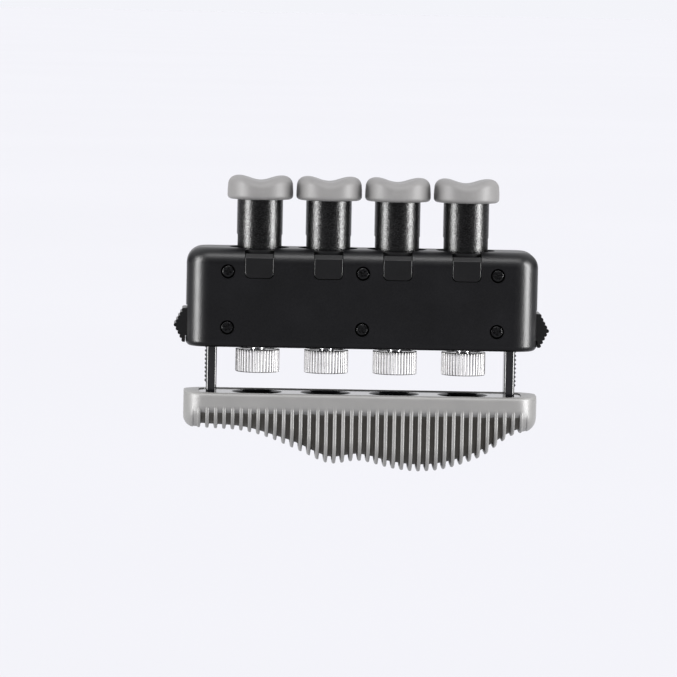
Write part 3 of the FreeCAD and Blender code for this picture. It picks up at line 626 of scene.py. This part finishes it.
def cut_for_plate(pad, top):
    """Cuts the recess that the plate sits in, and the well under it for the cups and sockets."""
    low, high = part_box("pad_plate")
    half_x, half_y = (high.x - low.x) / 2 + PLATE_GAP, (high.y - low.y) / 2 + PLATE_GAP
    slab = prism("slab_cutter", plan_outline(half_x, half_y, PLATE_CORNER), SLAB_BOTTOM, top + 2 * MM)
    cut(pad, slab)
    for k in FINGERS:
        knob_low, knob_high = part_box(f"tension_knob_{k}")
        x = knob_low.x / 2 + knob_high.x / 2
        circle = [(x + px, py) for px, py in arc((0, 0), CUP_RADIUS, 0, 352.5, 47)]
        cut(pad, prism("cup_cutter", circle, low.z - 0.02 * MM, CUP_CUT_TOP))


def cut(obj, cutter):
    """Takes one closed mesh out of another."""
    modifier = obj.modifiers.new("cut", "BOOLEAN")
    modifier.operation = "DIFFERENCE"
    modifier.solver = "EXACT"
    modifier.object = cutter
    graph = bpy.context.evaluated_depsgraph_get()
    result = bpy.data.meshes.new_from_object(obj.evaluated_get(graph))
    obj.modifiers.clear()
    obj.data = result
    bpy.data.objects.remove(cutter)


# ---- the studio ------------------------------------------------------------------------------------
FLOOR_HALF = 40.0
FLOOR_Z = -0.12
FLOOR_DARK, FLOOR_LIGHT = (0.73, 0.73, 0.745), (0.75, 0.75, 0.765)
PALE = (0.905, 0.905, 0.935)
BACKDROP = (0.900, 0.906, 0.950)
DIM = (0.10, 0.10, 0.11)
OVERHEAD = (1.5, 1.5, 1.55)
STRIP_DISTANCE = 0.45
STRIP_HEIGHT = 0.13
STRIP_SIZE = (0.14, 0.42)
STRIP_LEFT, STRIP_RIGHT = -67, 68
SOFTBOX_PLACE, SOFTBOX_AIM, SOFTBOX_SIZE = (0, -0.21, 0.44), (0, 0, 0.04), (0.5, 0.14)


def studio_floor():
    """A pale matt floor that runs out to the horizon."""
    mat, tree, shader, place = material("studio_floor")
    tone = noise(tree, place, 1.5, 2.0, 0.5)
    tree.links.new(blend_colour(tree, tone, FLOOR_DARK, FLOOR_LIGHT), shader.inputs["Base Color"])
    shader.inputs["Roughness"].default_value = 0.8
    shader.inputs["Specular IOR Level"].default_value = 0.0
    corners = [(x * FLOOR_HALF, y * FLOOR_HALF, FLOOR_Z) for x, y in ((-1, -1), (1, -1), (1, 1), (-1, 1))]
    mesh = bpy.data.meshes.new("studio_floor")
    mesh.from_pydata(corners, [], [(0, 1, 2, 3)])
    mesh.materials.append(mat)
    floor = bpy.data.objects.new("studio_floor", mesh)
    bpy.context.scene.collection.objects.link(floor)
    return floor


def room_light():
    """A room that is dim in front, pale behind and bright overhead, seen as an even pale backdrop."""
    world = bpy.data.worlds.new("room")
    bpy.context.scene.world = world
    world.use_nodes = True
    tree = world.node_tree
    lighting = tree.nodes["Background"]
    direction = tree.nodes.new("ShaderNodeTexCoord").outputs["Generated"]
    split = tree.nodes.new("ShaderNodeSeparateXYZ")
    tree.links.new(direction, split.inputs["Vector"])
    behind = span(tree, split.outputs["Y"], 0.0, 1.0, 0.72, 0.95)
    height = span(tree, split.outputs["Z"], 0.0, 1.0, 0.10, 0.70)
    level = blend_colour(tree, behind, DIM, PALE)
    overhead = blend_colour(tree, height, (0, 0, 0), OVERHEAD)
    total = tree.nodes.new("ShaderNodeMix")
    total.data_type = "RGBA"
    total.blend_type = "LIGHTEN"
    total.inputs["Factor"].default_value = 1.0
    tree.links.new(level, total.inputs["A"])
    tree.links.new(overhead, total.inputs["B"])
    tree.links.new(total.outputs["Result"], lighting.inputs["Color"])
    backdrop = tree.nodes.new("ShaderNodeBackground")
    backdrop.inputs["Color"].default_value = (*BACKDROP, 1)
    choice = tree.nodes.new("ShaderNodeMixShader")
    tree.links.new(tree.nodes.new("ShaderNodeLightPath").outputs["Is Camera Ray"], choice.inputs["Fac"])
    tree.links.new(lighting.outputs["Background"], choice.inputs[1])
    tree.links.new(backdrop.outputs["Background"], choice.inputs[2])
    tree.links.new(choice.outputs["Shader"], tree.nodes["World Output"].inputs["Surface"])


def soft_light(name, place, aim, size, strength, lit):
    """A soft light that the camera doesn't see and that lights one set of objects."""
    data = bpy.data.lights.new(name, "AREA")
    data.shape = "RECTANGLE"
    data.size, data.size_y = size
    data.energy = strength * math.pi * size[0] * size[1]
    light = bpy.data.objects.new(name, data)
    bpy.context.scene.collection.objects.link(light)
    light.location = place
    light.rotation_euler = (Vector(aim) - Vector(place)).to_track_quat("-Z", "Y").to_euler()
    light.visible_camera = False
    light.light_linking.receiver_collection = lit


def light_set(name, objects, state):
    """A light-linking set that takes in, or leaves out, some objects."""
    lit = bpy.data.collections.new(name)
    for obj in objects:
        lit.objects.link(obj)
    for entry in lit.collection_objects:
        entry.light_linking.link_state = state
    return lit


def upright_strips(name, strength, lit, left_share=0.85):
    """A tall soft strip on each side of the camera, for the upright lines of light."""
    for side, azimuth, share in (("left", STRIP_LEFT, left_share), ("right", STRIP_RIGHT, 1.0)):
        a = math.radians(azimuth)
        place = (STRIP_DISTANCE * math.sin(a), -STRIP_DISTANCE * math.cos(a), STRIP_HEIGHT)
        soft_light(f"{name}_{side}", place, (0, 0, STRIP_HEIGHT), STRIP_SIZE, strength * share, lit)


def studio_lights(floor, rubber, chrome):
    """Strong strips for the dark parts, gentler ones for the pale parts, and softboxes above the front."""
    dark_set = light_set("dark_parts", [floor, *rubber, *chrome], "EXCLUDE")
    rubber_set = light_set("rubber_parts", rubber, "INCLUDE")
    chrome_set = light_set("chrome_parts", chrome, "INCLUDE")
    upright_strips("dark_strip", 66, dark_set)
    upright_strips("rubber_strip", 19, rubber_set)
    upright_strips("chrome_strip", 4, chrome_set, 0.35)
    for name, strength, lit in (("dark", 13, dark_set), ("rubber", 3, rubber_set)):
        soft_light(f"{name}_softbox", SOFTBOX_PLACE, SOFTBOX_AIM, SOFTBOX_SIZE, strength, lit)


CAMERA_DISTANCE = 1.3
CAMERA_AZIMUTH = math.radians(-1.5)
CAMERA_ELEVATION = math.radians(4.2)
CAMERA_ROLL = math.radians(1.1)
CAMERA_TARGET = Vector((-6.0 * MM, 0, 35.2 * MM))
SENSOR_WIDTH = 36.0
VIEW_WIDTH = 182.5 * MM


def camera():
    """A long lens, a little above the object, with the slight tilt of a hand-held shot."""
    data = bpy.data.cameras.new("camera")
    data.sensor_width = SENSOR_WIDTH
    data.lens = SENSOR_WIDTH * CAMERA_DISTANCE / VIEW_WIDTH
    data.clip_end = 200.0
    obj = bpy.data.objects.new("camera", data)
    bpy.context.scene.collection.objects.link(obj)
    level = CAMERA_DISTANCE * math.cos(CAMERA_ELEVATION)
    offset = Vector((level * math.sin(CAMERA_AZIMUTH), -level * math.cos(CAMERA_AZIMUTH),
                     CAMERA_DISTANCE * math.sin(CAMERA_ELEVATION)))
    obj.location = CAMERA_TARGET + offset
    look = (-offset).to_track_quat("-Z", "Y").to_matrix()
    obj.rotation_euler = (look @ Matrix.Rotation(CAMERA_ROLL, 3, "Z")).to_euler()
    bpy.context.scene.camera = obj


dress_cad_nodes()
RUBBER_PIECES = [ribbed_pad(), *[finger_cap(number) for number in FINGERS]]
CHROME_PIECES = [reeded_knob(number) for number in FINGERS]
for number in FINGERS:
    finger_spring(number)
for end in ("left", "right"):
    lock_spring(end)
room_light()
studio_lights(studio_floor(), RUBBER_PIECES, CHROME_PIECES)
camera()
bpy.context.scene.view_settings.view_transform = "Standard"
